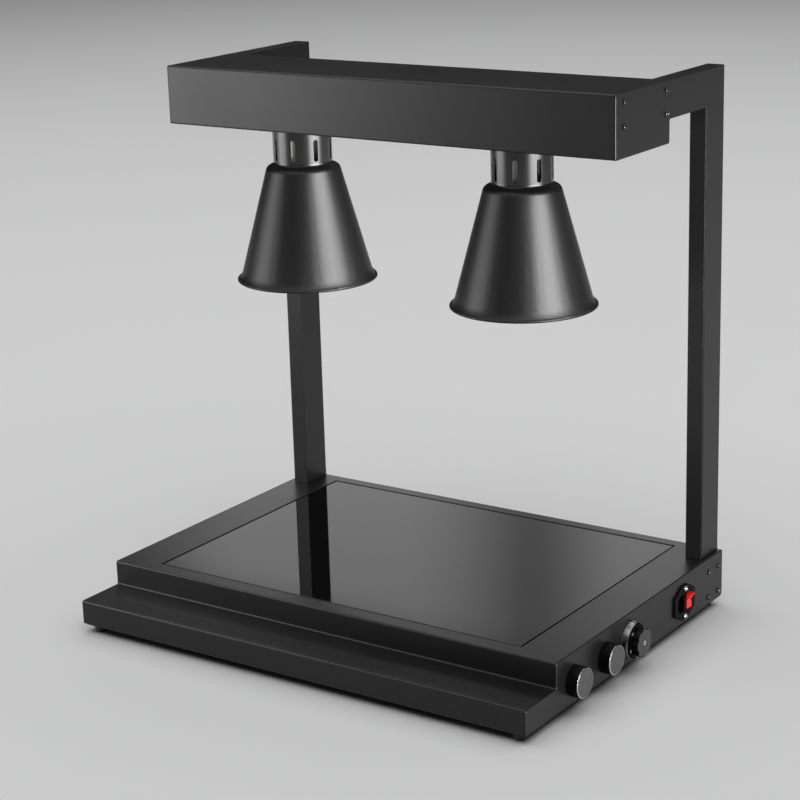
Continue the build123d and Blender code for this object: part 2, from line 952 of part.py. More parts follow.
def socket_outline():
    """The socket's mouth, taller than wide, with two cut corners towards the front."""
    y = around(y_inlet - socket_offset, socket_width)
    z = around(z_control, socket_height)
    points = [
        (y[1], z[0]),
        (y[1], z[1]),
        (y[0] + socket_corner, z[1]),
        (y[0], z[1] - socket_corner),
        (y[0], z[0] + socket_corner),
        (y[0] + socket_corner, z[0]),
    ]
    return make_face(Polyline(*points, close=True))


def pin_boxes(room):
    """The three contact blades, each widened by room: two on one line and the earth beside them."""
    y = y_inlet - socket_offset
    x = outward(-inlet_body_depth - pin_tail, -pin_sink)
    places = [
        (y + pin_stagger / 2, z_control - pin_spread / 2),
        (y + pin_stagger / 2, z_control + pin_spread / 2),
        (y - pin_stagger / 2, z_control),
    ]
    width = pin_width + 2 * room
    thickness = pin_thickness + 2 * room
    return [block(x, around(py, width), around(pz, thickness)) for py, pz in places]


def rocker_place():
    return (x_right + rocker_pivot_out, y_inlet + rocker_offset, z_control)


def inlet_housing():
    """Flange and body in one moulding, with the socket and the switch's bay."""
    housing = plate_x(inlet_outline(), outward(0, inlet_flange))
    body_y = around(y_inlet, inlet_body_width)
    housing += block(outward(-inlet_body_depth, 0), body_y, around(z_control, inlet_body_height))
    housing -= plate_x(socket_outline(), outward(inlet_flange - socket_depth, inlet_flange))
    for pin in pin_boxes(running_clearance):
        housing -= pin
    x, y, z = rocker_place()
    bay_height = 2 * (hypot(rocker_tip, rocker_half_height) + slip)
    bay_y = around(y, rocker_width + 2 * slip)
    housing -= block((x - rocker_bay_depth, x_right + inlet_flange), bay_y, around(z, bay_height))
    trunnions = around(y, rocker_width + 2 * trunnion_length + 2 * slip)
    housing -= rod_y(trunnion_radius + running_clearance, x, trunnions, z)
    for screw_z in around(z_control, inlet_screw_spread):
        housing -= screw_hole_x(outward(0, inlet_flange), y_inlet, screw_z)
    return housing


def inlet_screws():
    x = x_right + inlet_flange
    return group(screw_beside(1, x, y_inlet, z) for z in around(z_control, inlet_screw_spread))


def rocker():
    """The switch's rocker on two trunnions, tilted with its upper end out."""
    half = rocker_half_height
    heel = half - rocker_back * tan(radians(rocker_tilt))
    points = [
        (rocker_valley, 0),
        (rocker_tip, half),
        (-rocker_back, heel),
        (-rocker_back, -heel),
        (rocker_tip, -half),
    ]
    profile = make_face(Polyline(*points, close=True))
    body = extrude(Plane.XZ * profile, rocker_width / 2, both=True)
    body += rod_y(trunnion_radius, 0, around(0, rocker_width + 2 * trunnion_length), 0)
    return Pos(*rocker_place()) * Rot(0, rocker_tilt, 0) * body


# Terminal blocks and leads


def terminal_block(x, y, z):
    """A block that stands at height z, with two screw wells in its top for each way."""
    body = block(around(x, block_width), around(y, block_length), (z, z + block_height))
    well = (z + block_height / 2, z + block_height)
    for way in range(block_ways):
        for well_y in around(y, block_length / 2):
            body -= rod_z(block_bore, x + way_offset(way), well_y, well)
    return body


def way_offset(way):
    """How far a way of a terminal block stands from the block's middle."""
    return (way - (block_ways - 1) / 2) * block_width / block_ways


def header_block_top():
    return z_header + sheet + block_height


def supply_lead():
    """From the base's terminal block up the right post, along the arm and into the header."""
    route = [
        (supply_x, y_block + block_length / 2, z_lead),
        (supply_x, y_post_middle, z_lead),
        (supply_x, y_post_middle, z_arm_middle),
        (supply_x, y_lamp, z_arm_middle),
        (x_mid, y_lamp, z_arm_middle),
        (x_mid, y_lamp, header_block_top()),
    ]
    return lead(route, supply_lead_radius, supply_lead_bend)


def lamp_leads():
    """From the header's terminal block to each lamp's nipple."""
    leads = []
    for name, side in sides.items():
        start_x = x_mid + side * way_offset(block_ways - 1)
        z = z_header + lamp_lead_height
        route = [
            (start_x, y_lamp, header_block_top()),
            (start_x, y_lamp, z),
            (lamp_x[name], y_lamp, z),
            (lamp_x[name], y_lamp, nipple_span()[1]),
        ]
        leads.append(lead(route, lamp_lead_radius, lamp_lead_bend))
    return group(leads)


# All nodes

nodes = {
    "base_shell": base_shell(),
    "bottom_cover": bottom_cover(),
    "feet": group(foot(x, y) for x, y in foot_points()),
    "base_screws": base_screws(),
    "glass_plate": glass_plate(),
    "glass_seal": glass_seal(),
    "heat_spreader": heat_spreader(),
    "heating_element": heating_element(),
    "insulation_mat": insulation_mat(),
    "heater_tray": heater_tray(),
    "tray_pillars": tray_pillars(),
    "thermostat_sensor": thermostat_sensor(),
    "post_screws": post_screws(),
    "header_shell": header_shell(),
    "header_cover": header_cover(),
    "header_screws": header_screws(),
    "lamp_nuts": lamp_nuts(),
    "dimmer_nuts": dimmer_nuts(),
    "thermostat_body": thermostat_body(),
    "thermostat_bezel": thermostat_bezel(),
    "thermostat_screws": thermostat_screws(),
    "thermostat_shaft": thermostat_shaft(),
    "thermostat_dial": thermostat_dial(),
    "thermostat_grip": thermostat_grip(),
    "inlet_housing": inlet_housing(),
    "inlet_pins": group(pin_boxes(0)),
    "inlet_screws": inlet_screws(),
    "rocker": rocker(),
    "base_terminal_block": terminal_block(supply_x, y_block, z_base),
    "header_terminal_block": terminal_block(x_mid, y_lamp, z_header + sheet),
    "supply_lead": supply_lead(),
    "lamp_leads": lamp_leads(),
}
for name, side in sides.items():
    nodes[f"side_plate_{name}"] = side_plate(side)
    nodes[f"frame_plate_{name}"] = frame_plate(side)
    nodes[f"post_{name}"] = post(side)
    nodes[f"arm_{name}"] = arm(side)
    nodes[f"post_packer_{name}"] = post_packer(side)
    nodes[f"lamp_shade_{name}"] = lamp_shade(lamp_x[name])
    nodes[f"lamp_holder_{name}"] = lamp_holder(lamp_x[name])
    nodes[f"lamp_nipple_{name}"] = lamp_nipple(lamp_x[name])
    nodes[f"bulb_{name}"] = bulb(lamp_x[name])
    nodes[f"bulb_cap_{name}"] = bulb_cap(lamp_x[name])
for name, y in dimmer_y.items():
    nodes[f"dimmer_body_{name}"] = dimmer_body(y)
    nodes[f"dimmer_shaft_{name}"] = dimmer_shaft(y)
    nodes[f"dimmer_knob_{name}"] = dimmer_knob(y)
    nodes[f"dimmer_cap_{name}"] = dimmer_cap(y)

for name, shape in nodes.items():
    export_step(shape, f"parts/{name}.step")
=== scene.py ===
"""Buffet food warmer with two heat lamps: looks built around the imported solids.

Metres, +Z up, front towards -Y, controls on the +X side.
"""
import json
import math

import bmesh
import bpy
from mathutils import Matrix, Vector

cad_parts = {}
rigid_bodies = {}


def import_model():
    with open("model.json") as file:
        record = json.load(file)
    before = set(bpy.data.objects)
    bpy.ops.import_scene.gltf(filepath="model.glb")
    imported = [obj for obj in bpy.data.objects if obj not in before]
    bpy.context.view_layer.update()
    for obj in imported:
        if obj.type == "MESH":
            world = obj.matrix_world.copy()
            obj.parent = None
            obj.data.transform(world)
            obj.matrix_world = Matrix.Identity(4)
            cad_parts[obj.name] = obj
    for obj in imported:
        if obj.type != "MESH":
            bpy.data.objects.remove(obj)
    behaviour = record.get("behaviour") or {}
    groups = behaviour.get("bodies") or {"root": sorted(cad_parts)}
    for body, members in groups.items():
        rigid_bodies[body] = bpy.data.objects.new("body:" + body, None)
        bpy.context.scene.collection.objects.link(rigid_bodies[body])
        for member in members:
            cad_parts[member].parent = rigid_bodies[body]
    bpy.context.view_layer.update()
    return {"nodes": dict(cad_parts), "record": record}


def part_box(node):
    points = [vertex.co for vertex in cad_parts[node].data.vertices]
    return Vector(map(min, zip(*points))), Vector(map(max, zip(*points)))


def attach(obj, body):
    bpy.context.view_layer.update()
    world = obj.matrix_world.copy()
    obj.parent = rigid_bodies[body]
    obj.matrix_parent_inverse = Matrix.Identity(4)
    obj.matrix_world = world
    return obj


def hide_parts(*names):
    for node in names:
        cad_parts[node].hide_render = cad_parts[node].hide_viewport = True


for spare in list(bpy.data.objects):
    bpy.data.objects.remove(spare)
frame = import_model()
nodes = frame["nodes"]
MM = 0.001
SIDES = ("left", "right")
ENDS = ("front", "rear")


# Node wiring, shared by finishes and by the tree that sets out repeated pieces


class Signal:
    """An output socket; sums and products of signals add Math nodes to its tree."""

    def __init__(self, wiring, socket):
        self.wiring = wiring
        self.socket = socket

    def combine(self, operation, first, second):
        return self.wiring.node("ShaderNodeMath", {"operation": operation}, {0: first, 1: second})

    def __add__(self, other):
        return self.combine("ADD", self, other)

    def __sub__(self, other):
        return self.combine("SUBTRACT", self, other)

    def __rsub__(self, other):
        return self.combine("SUBTRACT", other, self)

    def __mul__(self, other):
        return self.combine("MULTIPLY", self, other)

    __radd__ = __add__
    __rmul__ = __mul__


class Wiring:
    """Adds nodes to a tree one at a time: settings first, then values or links of its sockets."""

    def __init__(self, tree):
        self.tree = tree

    def node(self, kind, settings=None, inputs=None, output=0):
        made = self.tree.nodes.new(kind)
        for key, value in (settings or {}).items():
            setattr(made, key, value)
        for key, value in (inputs or {}).items():
            self.feed(made.inputs[key], value)
        return Signal(self, made.outputs[output])

    def feed(self, socket, value):
        if isinstance(value, Signal):
            self.tree.links.new(value.socket, socket)
        else:
            socket.default_value = value


class Finish(Wiring):
    """A material whose detail is wired into its Principled shader."""

    def __init__(self, name):
        self.material = bpy.data.materials.new(name)
        self.material.use_nodes = True
        super().__init__(self.material.node_tree)
        self.shader = self.tree.nodes["Principled BSDF"]
        self.place = self.node("ShaderNodeTexCoord", output="Object")

    def noise(self, scale, detail=2.0, stretch=None):
        """Soft noise about one half, with so many lumps to the metre."""
        place = self.place
        if stretch:
            place = self.node("ShaderNodeMapping", {}, {"Vector": place, "Scale": stretch})
        inputs = {"Vector": place, "Scale": scale, "Detail": detail}
        return self.node("ShaderNodeTexNoise", {}, inputs)

    def along(self, axis):
        """The place on the piece along one axis, in metres."""
        return self.node("ShaderNodeSeparateXYZ", {}, {0: self.place}, output=axis)

    def step(self, value, low, high):
        """Zero below low, one above high, and smooth between."""
        settings = {"interpolation_type": "SMOOTHSTEP"}
        inputs = {"Value": value, "From Min": low, "From Max": high}
        return self.node("ShaderNodeMapRange", settings, inputs)

    def stored(self, name):
        """A number that the mesh itself carries."""
        return self.node("ShaderNodeAttribute", {"attribute_name": name}, output="Fac")

    def blend(self, share, tones):
        """From the first of two tones to the second."""
        inputs = {0: share, 6: (*tones[0], 1.0), 7: (*tones[1], 1.0)}
        return self.node("ShaderNodeMix", {"data_type": "RGBA"}, inputs, output=2)

    def bump(self, height, depth):
        """Turns a height between zero and one into relief, so many metres deep."""
        return self.node("ShaderNodeBump", {}, {"Height": height, "Distance": depth})

    def shade(self, **values):
        """Sets the shader's sockets; base_color stands for Base Color."""
        for key, value in values.items():
            label = key.replace("_", " ").title().replace("Ior", "IOR")
            self.feed(self.shader.inputs[label], value)
        return self.material


# Finishes, each between two tones


COAT_BLACK = ((0.0045, 0.0045, 0.0047), (0.008, 0.008, 0.0084))
SHADE_BLACK = ((0.0025, 0.0025, 0.0026), (0.0055, 0.0055, 0.0058))
GLASS_BLACK = ((0.002, 0.002, 0.0025), (0.005, 0.005, 0.006))
RUBBER_BLACK = ((0.010, 0.010, 0.010), (0.024, 0.024, 0.024))
KNOB_BLACK = ((0.002, 0.002, 0.002), (0.005, 0.005, 0.005))
GRIP_WALL_AND_PAINTED_SHEEN = ((0.002, 0.002, 0.002), (0.11, 0.11, 0.11))
SHEATH_BLACK = ((0.020, 0.020, 0.021), (0.036, 0.036, 0.037))
SCREW_BLACK = ((0.05, 0.05, 0.053), (0.14, 0.14, 0.145))
# The chrome tones are far darker than chrome: painted shade of what the bezel mirrors.
CHROME_PAINTED_DARK = ((0.18, 0.18, 0.185), (0.30, 0.30, 0.31))
ZINC = ((0.42, 0.42, 0.43), (0.66, 0.66, 0.67))
ROLLED_ALUMINIUM = ((0.62, 0.63, 0.64), (0.80, 0.81, 0.82))
CAP_SHADED_FACE_AND_RIM = ((0.035, 0.035, 0.037), (0.62, 0.62, 0.63))
BRASS = ((0.62, 0.50, 0.27), (0.80, 0.68, 0.42))
ROCKER_RED = ((0.50, 0.006, 0.010), (0.66, 0.014, 0.016))
CERAMIC_WHITE = ((0.76, 0.74, 0.69), (0.86, 0.85, 0.81))
BLOCK_CREAM = ((0.66, 0.64, 0.58), (0.78, 0.76, 0.70))
FELT_CREAM = ((0.62, 0.59, 0.52), (0.86, 0.84, 0.78))
BULB_FROST_AND_SILVER = ((0.80, 0.76, 0.70), (0.74, 0.74, 0.75))
PRINT_WHITE = ((0.72, 0.72, 0.71), (0.86, 0.86, 0.85))
FLOOR_GREY = ((0.70, 0.70, 0.70), (0.74, 0.74, 0.74))
NECK_LENGTH = 52 * MM
CAP_RIM = (18.6 * MM, 19.0 * MM)
BULB_FRONT = (33 * MM, 37 * MM)


def coat_finish(name, tones, roughness, grain_depth):
    """Powder coat: a fine grain over a slow orange peel, with a little dust held in it."""
    finish = Finish(name)
    grain = finish.noise(1500, 2)
    peel = finish.noise(260, 2)
    cloud = finish.noise(7, 3)
    return finish.shade(
        base_color=finish.blend(0.35 * grain + 0.65 * cloud, tones),
        roughness=roughness + 0.12 * (cloud - 0.5) + 0.10 * (grain - 0.5),
        specular_ior_level=0.36,
        normal=finish.bump(0.6 * grain + 0.4 * peel, grain_depth),
    )


def shade_finish():
    """The lamp shades' coat: grained on the cone, smoother and glossier on the neck."""
    finish = Finish("shade_coat")
    neck_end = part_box("lamp_shade_left")[1].z - NECK_LENGTH
    neck = finish.step(finish.along("Z"), neck_end - 6 * MM, neck_end + 2 * MM)
    grain = 0.6 * finish.noise(520, 2) + 0.4 * finish.noise(1300, 2)
    cloud = finish.noise(9, 3)
    rough = 0.38 + 0.08 * (cloud - 0.5) + 0.10 * (grain - 0.5)
    return finish.shade(
        base_color=finish.blend(0.5 * grain + 0.5 * cloud, SHADE_BLACK),
        roughness=rough - 0.13 * neck,
        coat_weight=0.5 * neck,
        coat_roughness=0.27,
        specular_ior_level=0.36,
        normal=finish.bump(grain * (1 - 0.8 * neck), 0.22 * MM),
    )


def glass_finish():
    """Polished black glass with a faint wiped haze."""
    finish = Finish("plate_glass")
    wipe = finish.noise(5, 4, (1.0, 3.0, 1.0))
    fine = finish.noise(60, 3)
    return finish.shade(
        base_color=finish.blend(wipe, GLASS_BLACK),
        roughness=0.02 + 0.06 * finish.step(0.7 * wipe + 0.3 * fine, 0.40, 0.75),
        specular_ior_level=0.40,
        normal=finish.bump(finish.noise(14, 1), 0.02 * MM),
    )


def plastic_finish(name, tones, roughness, sparks=700, gloss=0.5):
    """Moulded plastic with a fine spark texture."""
    finish = Finish(name)
    spark = finish.noise(sparks, 3)
    cloud = finish.noise(40, 2)
    return finish.shade(
        base_color=finish.blend(0.5 * spark + 0.5 * cloud, tones),
        roughness=roughness + 0.10 * (spark - 0.5) + 0.06 * (cloud - 0.5),
        specular_ior_level=gloss,
        normal=finish.bump(spark, 0.05 * MM),
    )


def metal_finish(name, tones, roughness, stretch, scale=900):
    """Bare or plated metal, brushed one way by stretching its grain."""
    finish = Finish(name)
    brush = finish.noise(scale, 3, stretch)
    cloud = finish.noise(30, 3)
    return finish.shade(
        base_color=finish.blend(0.5 * brush + 0.5 * cloud, tones),
        metallic=1.0,
        roughness=roughness + 0.12 * (brush - 0.5) + 0.08 * (cloud - 0.5),
        normal=finish.bump(brush, 0.02 * MM),
    )


def cap_finish():
    """Spun aluminium: fine rings about the axis on the face, polished round the rim; the face is far
    darker than aluminium, as painted shade.
    """
    finish = Finish("spun_cap")
    radius = finish.stored("from_axis")
    rings = finish.node("ShaderNodeTexNoise", {"noise_dimensions": "1D"}, {"W": radius, "Scale": 4200.0})
    rim = finish.step(radius, *CAP_RIM)
    cloud = finish.noise(90, 3)
    return finish.shade(
        # The dark face tone is painted shade; the polished rim keeps a bright aluminium tone.
        base_color=finish.blend(0.20 * rings + 0.25 * cloud + rim, CAP_SHADED_FACE_AND_RIM),
        metallic=1.0,
        roughness=0.34 + 0.14 * (rings - 0.5) - 0.22 * rim,
        normal=finish.bump(rings * (1 - rim), 0.03 * MM),
    )


def grip_finish():
    """The thermostat's grip: matt moulded walls and a smoother face, whose lighter tone is a painted
    reflection.
    """
    finish = Finish("grip_plastic")
    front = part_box("thermostat_grip")[1].x
    face = finish.step(finish.along("X"), front - 0.8 * MM, front - 0.3 * MM)
    spark = finish.noise(700, 3)
    return finish.shade(
        # Painted reflection: the face is coloured lighter than the black walls.
        base_color=finish.blend(face * (0.7 + 0.6 * spark), GRIP_WALL_AND_PAINTED_SHEEN),
        roughness=0.52 - 0.26 * face + 0.10 * (spark - 0.5),
        specular_ior_level=0.10,
        normal=finish.bump(spark, 0.05 * MM),
    )


def bulb_finish():
    """A reflector bulb: frosted front, silvered sides above."""
    finish = Finish("bulb_glass")
    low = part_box("bulb_left")[0].z
    silver = finish.step(finish.along("Z"), low + BULB_FRONT[0], low + BULB_FRONT[1])
    frost = finish.noise(420, 3)
    return finish.shade(
        base_color=finish.blend(silver, BULB_FROST_AND_SILVER),
        metallic=silver,
        roughness=0.38 + 0.16 * (frost - 0.5) - 0.24 * silver,
        normal=finish.bump(frost * (1 - silver), 0.06 * MM),
    )


def board_finish():
    """Ceramic fibre board: felted, soft and matt."""
    finish = Finish("fibre_board")
    felt = finish.noise(260, 5, (1.0, 2.5, 6.0))
    return finish.shade(
        base_color=finish.blend(felt, FELT_CREAM),
        roughness=0.85 + 0.1 * (felt - 0.5),
        normal=finish.bump(felt, 0.6 * MM),
    )


def floor_finish():
    """A plain matt floor, hardly uneven in tone."""
    finish = Finish("studio_floor")
    tone = finish.noise(0.6, 3)
    return finish.shade(
        base_color=finish.blend(tone, FLOOR_GREY),
        roughness=0.75 + 0.1 * (tone - 0.5),
        specular_ior_level=0.0,
    )


EVEN = (1.0, 1.0, 1.0)
finishes = {
    "black_coat": coat_finish("satin_coat", COAT_BLACK, 0.34, 0.04 * MM),
    "shade_black": shade_finish(),
    "black_glass": glass_finish(),
    "black_rubber": plastic_finish("foot_rubber", RUBBER_BLACK, 0.50),
    "bright_steel": metal_finish("screw_steel", ZINC, 0.24, EVEN),
    "spreader_aluminium": metal_finish("rolled_sheet", ROLLED_ALUMINIUM, 0.36, (40, 1, 1), 60),
    "fibre_mat": board_finish(),
    "ceramic_white": plastic_finish("glazed_ceramic", CERAMIC_WHITE, 0.16, 120),
    "bulb_glass": bulb_finish(),
    "black_plastic": plastic_finish("knob_plastic", KNOB_BLACK, 0.42, gloss=0.06),
    "knob_aluminium": cap_finish(),
    "bezel_chrome": metal_finish("bezel_chrome", CHROME_PAINTED_DARK, 0.30, (1, 30, 30), 120),
    "contact_brass": metal_finish("plated_brass", BRASS, 0.22, (20, 1, 1), 100),
    "rocker_red": plastic_finish("rocker_red", ROCKER_RED, 0.16, 260),
    "block_plastic": plastic_finish("block_plastic", BLOCK_CREAM, 0.42),
    "lead_sheath": plastic_finish("lead_sheath", SHEATH_BLACK, 0.48, 300),
}
grip_plastic = grip_finish()
screw_black = metal_finish("blackened_screw", SCREW_BLACK, 0.20, EVEN)
print_white = plastic_finish("white_print", PRINT_WHITE, 0.40)
slot_of = {part["node"]: part["material_slot"] for part in frame["record"]["subparts"]}
for node, slot in slot_of.items():
    nodes[node].data.materials.clear()
    nodes[node].data.materials.append(finishes[slot])


# Mesh tools


def new_piece(name, mesh, material):
    """Puts a mesh into the scene as a piece, in a finish if it is given one."""
    piece = bpy.data.objects.new(name, mesh)
    bpy.context.scene.collection.objects.link(piece)
    if material:
        mesh.materials.clear()
        mesh.materials.append(material)
    return piece


def adopt(piece, body, slot, *stands_for):
    """Makes a piece ride on its body and hides the solids that it stands for; the slot is not used."""
    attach(piece, body)
    if stands_for:
        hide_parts(*stands_for)


def plain_mesh(piece):
    """The piece's mesh with its modifiers worked in."""
    graph = bpy.context.evaluated_depsgraph_get()
    mesh = bpy.data.meshes.new_from_object(piece.evaluated_get(graph), depsgraph=graph)
    piece.modifiers.clear()
    piece.data = mesh
    return mesh


def smooth(mesh, sharp=40):
    """Smooth shading, broken at edges sharper than an angle in degrees."""
    mesh.polygons.foreach_set("use_smooth", [True] * len(mesh.polygons))
    mesh.set_sharp_from_angle(angle=math.radians(sharp))


def as_mesh(name, shape):
    """Turns a worked shape into a mesh, and lets the shape go."""
    mesh = bpy.data.meshes.new(name)
    shape.to_mesh(mesh)
    shape.free()
    return mesh


WELD_REACH = 0.002 * MM
FLAT_ANGLE = math.radians(0.4)


def merged(node):
    """A solid's mesh as one welded shape, its flat faces joined."""
    shape = bmesh.new()
    shape.from_mesh(nodes[node].data)
    bmesh.ops.remove_doubles(shape, verts=shape.verts, dist=WELD_REACH)
    bmesh.ops.dissolve_limit(shape, angle_limit=FLAT_ANGLE, verts=shape.verts, edges=shape.edges)
    return shape


def forget_shading(mesh):
    """Drops the normals and sharp marks that a solid's mesh brings along."""
    for layer in ("custom_normal", "sharp_edge", "sharp_face"):
        if layer in mesh.attributes:
            mesh.attributes.remove(mesh.attributes[layer])


GENTLEST_EDGE = math.radians(32)
SMALLEST_OUTLINE = 14 * MM


def corners_of(spots):
    """The low and high corners of a set of points."""
    low = Vector([min(spot[axis] for spot in spots) for axis in range(3)])
    high = Vector([max(spot[axis] for spot in spots) for axis in range(3)])
    return low, high


def weigh_outlines(shape):
    """Marks the sharp edges of outlines for easing, and leaves out those of screw holes."""
    weight = shape.edges.layers.float.new("bevel_weight_edge")
    left = {edge for edge in shape.edges if edge.calc_face_angle(0) > GENTLEST_EDGE}
    while left:
        wave = [left.pop()]
        outline = []
        while wave:
            edge = wave.pop()
            outline.append(edge)
            for point in edge.verts:
                for other in point.link_edges:
                    if other in left:
                        left.remove(other)
                        wave.append(other)
        low, high = corners_of([point.co for edge in outline for point in edge.verts])
        reach = max(high - low)
        for edge in outline:
            edge[weight] = float(reach > SMALLEST_OUTLINE)


def eased(node, width, segments=2, body="warmer"):
    """Stands for a solid with its sharp edges eased: broken flat by one segment, or rounded by more."""
    shape = merged(node)
    weigh_outlines(shape)
    mesh = as_mesh(f"{node}_eased", shape)
    forget_shading(mesh)
    mesh.polygons.foreach_set("use_smooth", [True] * len(mesh.polygons))
    piece = new_piece(f"{node}_eased", mesh, finishes[slot_of[node]])
    ease = piece.modifiers.new("ease", "BEVEL")
    ease.width = width
    ease.segments = segments
    ease.limit_method = "WEIGHT"
    ease.use_clamp_overlap = False
    if segments > 1:
        flatten = piece.modifiers.new("flatten", "WEIGHTED_NORMAL")
        flatten.weight = 100
        flatten.keep_sharp = True
    mesh = plain_mesh(piece)
    if segments == 1:
        smooth(mesh, 30)
    adopt(piece, body, slot_of[node], node)
    return piece


STRAIGHT = math.radians(89)


def soften(points, radii, steps=4):
    """An open line of points with each inner corner turned into an arc of its own radius."""
    line = [points[0]]
    for before, corner, after, radius in zip(points, points[1:], points[2:], radii):
        corner = Vector(corner)
        back = (Vector(before) - corner).normalized()
        ahead = (Vector(after) - corner).normalized()
        half = back.angle(ahead) / 2
        if radius == 0 or half > STRAIGHT:
            line.append(tuple(corner))
            continue
        middle = corner + (back + ahead).normalized() * radius / math.sin(half)
        first = corner + back * radius / math.tan(half) - middle
        last = corner + ahead * radius / math.tan(half) - middle
        for step in range(steps + 1):
            line.append(tuple(middle + first.lerp(last, step / steps).normalized() * radius))
    line.append(points[-1])
    return line


def skin(shape, rings, steps):
    """Faces from each ring of points to the next; a ring at a pole is a single point."""
    for first, second in zip(rings, rings[1:]):
        for index in range(steps):
            after = (index + 1) % steps
            corners = [first[index % len(first)], first[after % len(first)]]
            corners += [second[after % len(second)], second[index % len(second)]]
            corners = list(dict.fromkeys(corners))
            if len(corners) > 2:
                shape.faces.new(corners)
    bmesh.ops.recalc_face_normals(shape, faces=shape.faces)


def lathe(name, profile, centre, axis, steps, loop=False):
    """A turned mesh from points of (along the axis, radius), with its radius stored on it."""
    shape = bmesh.new()
    rings = []
    for along, radius in profile:
        count = steps if radius > 0 else 1
        ring = []
        for index in range(count):
            angle = 2 * math.pi * index / steps
            across, up = radius * math.sin(angle), radius * math.cos(angle)
            spot = (along, across, up) if axis == "X" else (across, up, along)
            ring.append(shape.verts.new(Vector(spot) + Vector(centre)))
        rings.append(ring)
    skin(shape, rings + rings[:1] if loop else rings, steps)
    mesh = as_mesh(name, shape)
    store_radius(mesh, centre, axis)
    smooth(mesh)
    return mesh


def store_radius(mesh, centre, axis):
    """Keeps each point's distance from the axis on the mesh, for finishes that follow it."""
    layer = mesh.attributes.new("from_axis", "FLOAT", "POINT")
    for point, value in zip(mesh.vertices, layer.data):
        offset = point.co - Vector(centre)
        value.value = Vector(offset.yz).length if axis == "X" else Vector(offset.xy).length


def turned(name, points, radii, centre, steps, material, loop=False):
    """A piece turned about X from a profile, its inner corners softened to these radii."""
    mesh = lathe(name, soften(points, radii), centre, "X", steps, loop)
    return new_piece(name, mesh, material)


def prism(shape, low, high):
    """Closes a shape between two outlines of as many points."""
    shape.faces.new(reversed(low))
    shape.faces.new(high)
    for index in range(len(low)):
        after = (index + 1) % len(low)
        shape.faces.new((low[index], low[after], high[after], high[index]))


def join(name, meshes, material):
    """One piece from several meshes."""
    shape = bmesh.new()
    for mesh in meshes:
        shape.from_mesh(mesh)
    return new_piece(name, as_mesh(name, shape), material)


# Sheet work, glass, lamps and the inlet keep their solids' shapes, with eased edges


for sheet_work in ("base_shell", "header_shell", "header_cover", "bottom_cover"):
    eased(sheet_work, width=0.5 * MM)
end_work = []
for side in SIDES:
    for end_plate in ("side_plate", "frame_plate"):
        end_work.append(eased(f"{end_plate}_{side}", width=0.65 * MM, segments=1))
    for tube in ("post", "arm"):
        end_work.append(eased(f"{tube}_{side}", width=0.65 * MM, segments=3))
    eased(f"lamp_shade_{side}", width=0.25 * MM)
    eased(f"lamp_holder_{side}", width=1.2 * MM, segments=3)
eased("glass_plate", width=0.8 * MM, segments=3)
eased("inlet_housing", width=0.6 * MM, segments=3)


# Screws and feet, set out by one tree


def set_out_tree():
    """Sets a piece on each point, turned to the point's aim and spun about it at random."""
    tree = bpy.data.node_groups.new("set_out", "GeometryNodeTree")
    sockets = {
        "Points": "NodeSocketGeometry",
        "Piece": "NodeSocketObject",
        "Finish": "NodeSocketMaterial",
        "Size": "NodeSocketFloat",
        "Spin": "NodeSocketFloat",
        "Seed": "NodeSocketInt",
    }
    for label, kind in sockets.items():
        tree.interface.new_socket(label, in_out="INPUT", socket_type=kind)
    tree.interface.new_socket("Pieces", in_out="OUTPUT", socket_type="NodeSocketGeometry")
    wiring = Wiring(tree)
    start = tree.nodes.new("NodeGroupInput")
    given = {label: Signal(wiring, start.outputs[label]) for label in sockets}
    vector = {"data_type": "FLOAT_VECTOR"}
    aim = wiring.node("GeometryNodeInputNamedAttribute", vector, {"Name": "aim"})
    facing = wiring.node("FunctionNodeAlignRotationToVector", {"axis": "Z"}, {"Vector": aim})
    limits = {3: given["Spin"], "Seed": given["Seed"]}
    spin = wiring.node("FunctionNodeRandomValue", {"data_type": "FLOAT"}, limits, output=1)
    twist = wiring.node("FunctionNodeAxisAngleToRotation", {}, {"Axis": (0, 0, 1), "Angle": spin})
    turns = {"Rotation": facing, "Rotate By": twist}
    stance = wiring.node("FunctionNodeRotateRotation", {"rotation_space": "LOCAL"}, turns)
    shape = wiring.node("GeometryNodeObjectInfo", {}, {"Object": given["Piece"]}, output="Geometry")
    spots = wiring.node("GeometryNodeMeshToPoints", {}, {"Mesh": given["Points"]})
    places = {"Points": spots, "Instance": shape, "Rotation": stance, "Scale": given["Size"]}
    placed = wiring.node("GeometryNodeInstanceOnPoints", {}, places)
    real = wiring.node("GeometryNodeRealizeInstances", {}, {"Geometry": placed})
    done = wiring.node("GeometryNodeSetMaterial", {}, {"Geometry": real, "Material": given["Finish"]})
    end = tree.nodes.new("NodeGroupOutput")
    wiring.feed(end.inputs["Pieces"], done)
    return tree


def loose_parts(node):
    """The low and high corners of each separate solid in a node, in order of their low ones."""
    shape = merged(node)
    left = set(shape.verts)
    boxes = []
    while left:
        wave = [left.pop()]
        part = []
        while wave:
            point = wave.pop()
            part.append(point.co.copy())
            for edge in point.link_edges:
                other = edge.other_vert(point)
                if other in left:
                    left.remove(other)
                    wave.append(other)
        boxes.append(corners_of(part))
    shape.free()
    return sorted(boxes, key=lambda box: tuple(box[0]))


def outer_end(low, high, aim):
    """The middle of the end of a box that an aim points to."""
    middle = (low + high) / 2
    return middle + Vector([aim[axis] * (high - low)[axis] / 2 for axis in range(3)])


set_out = set_out_tree()


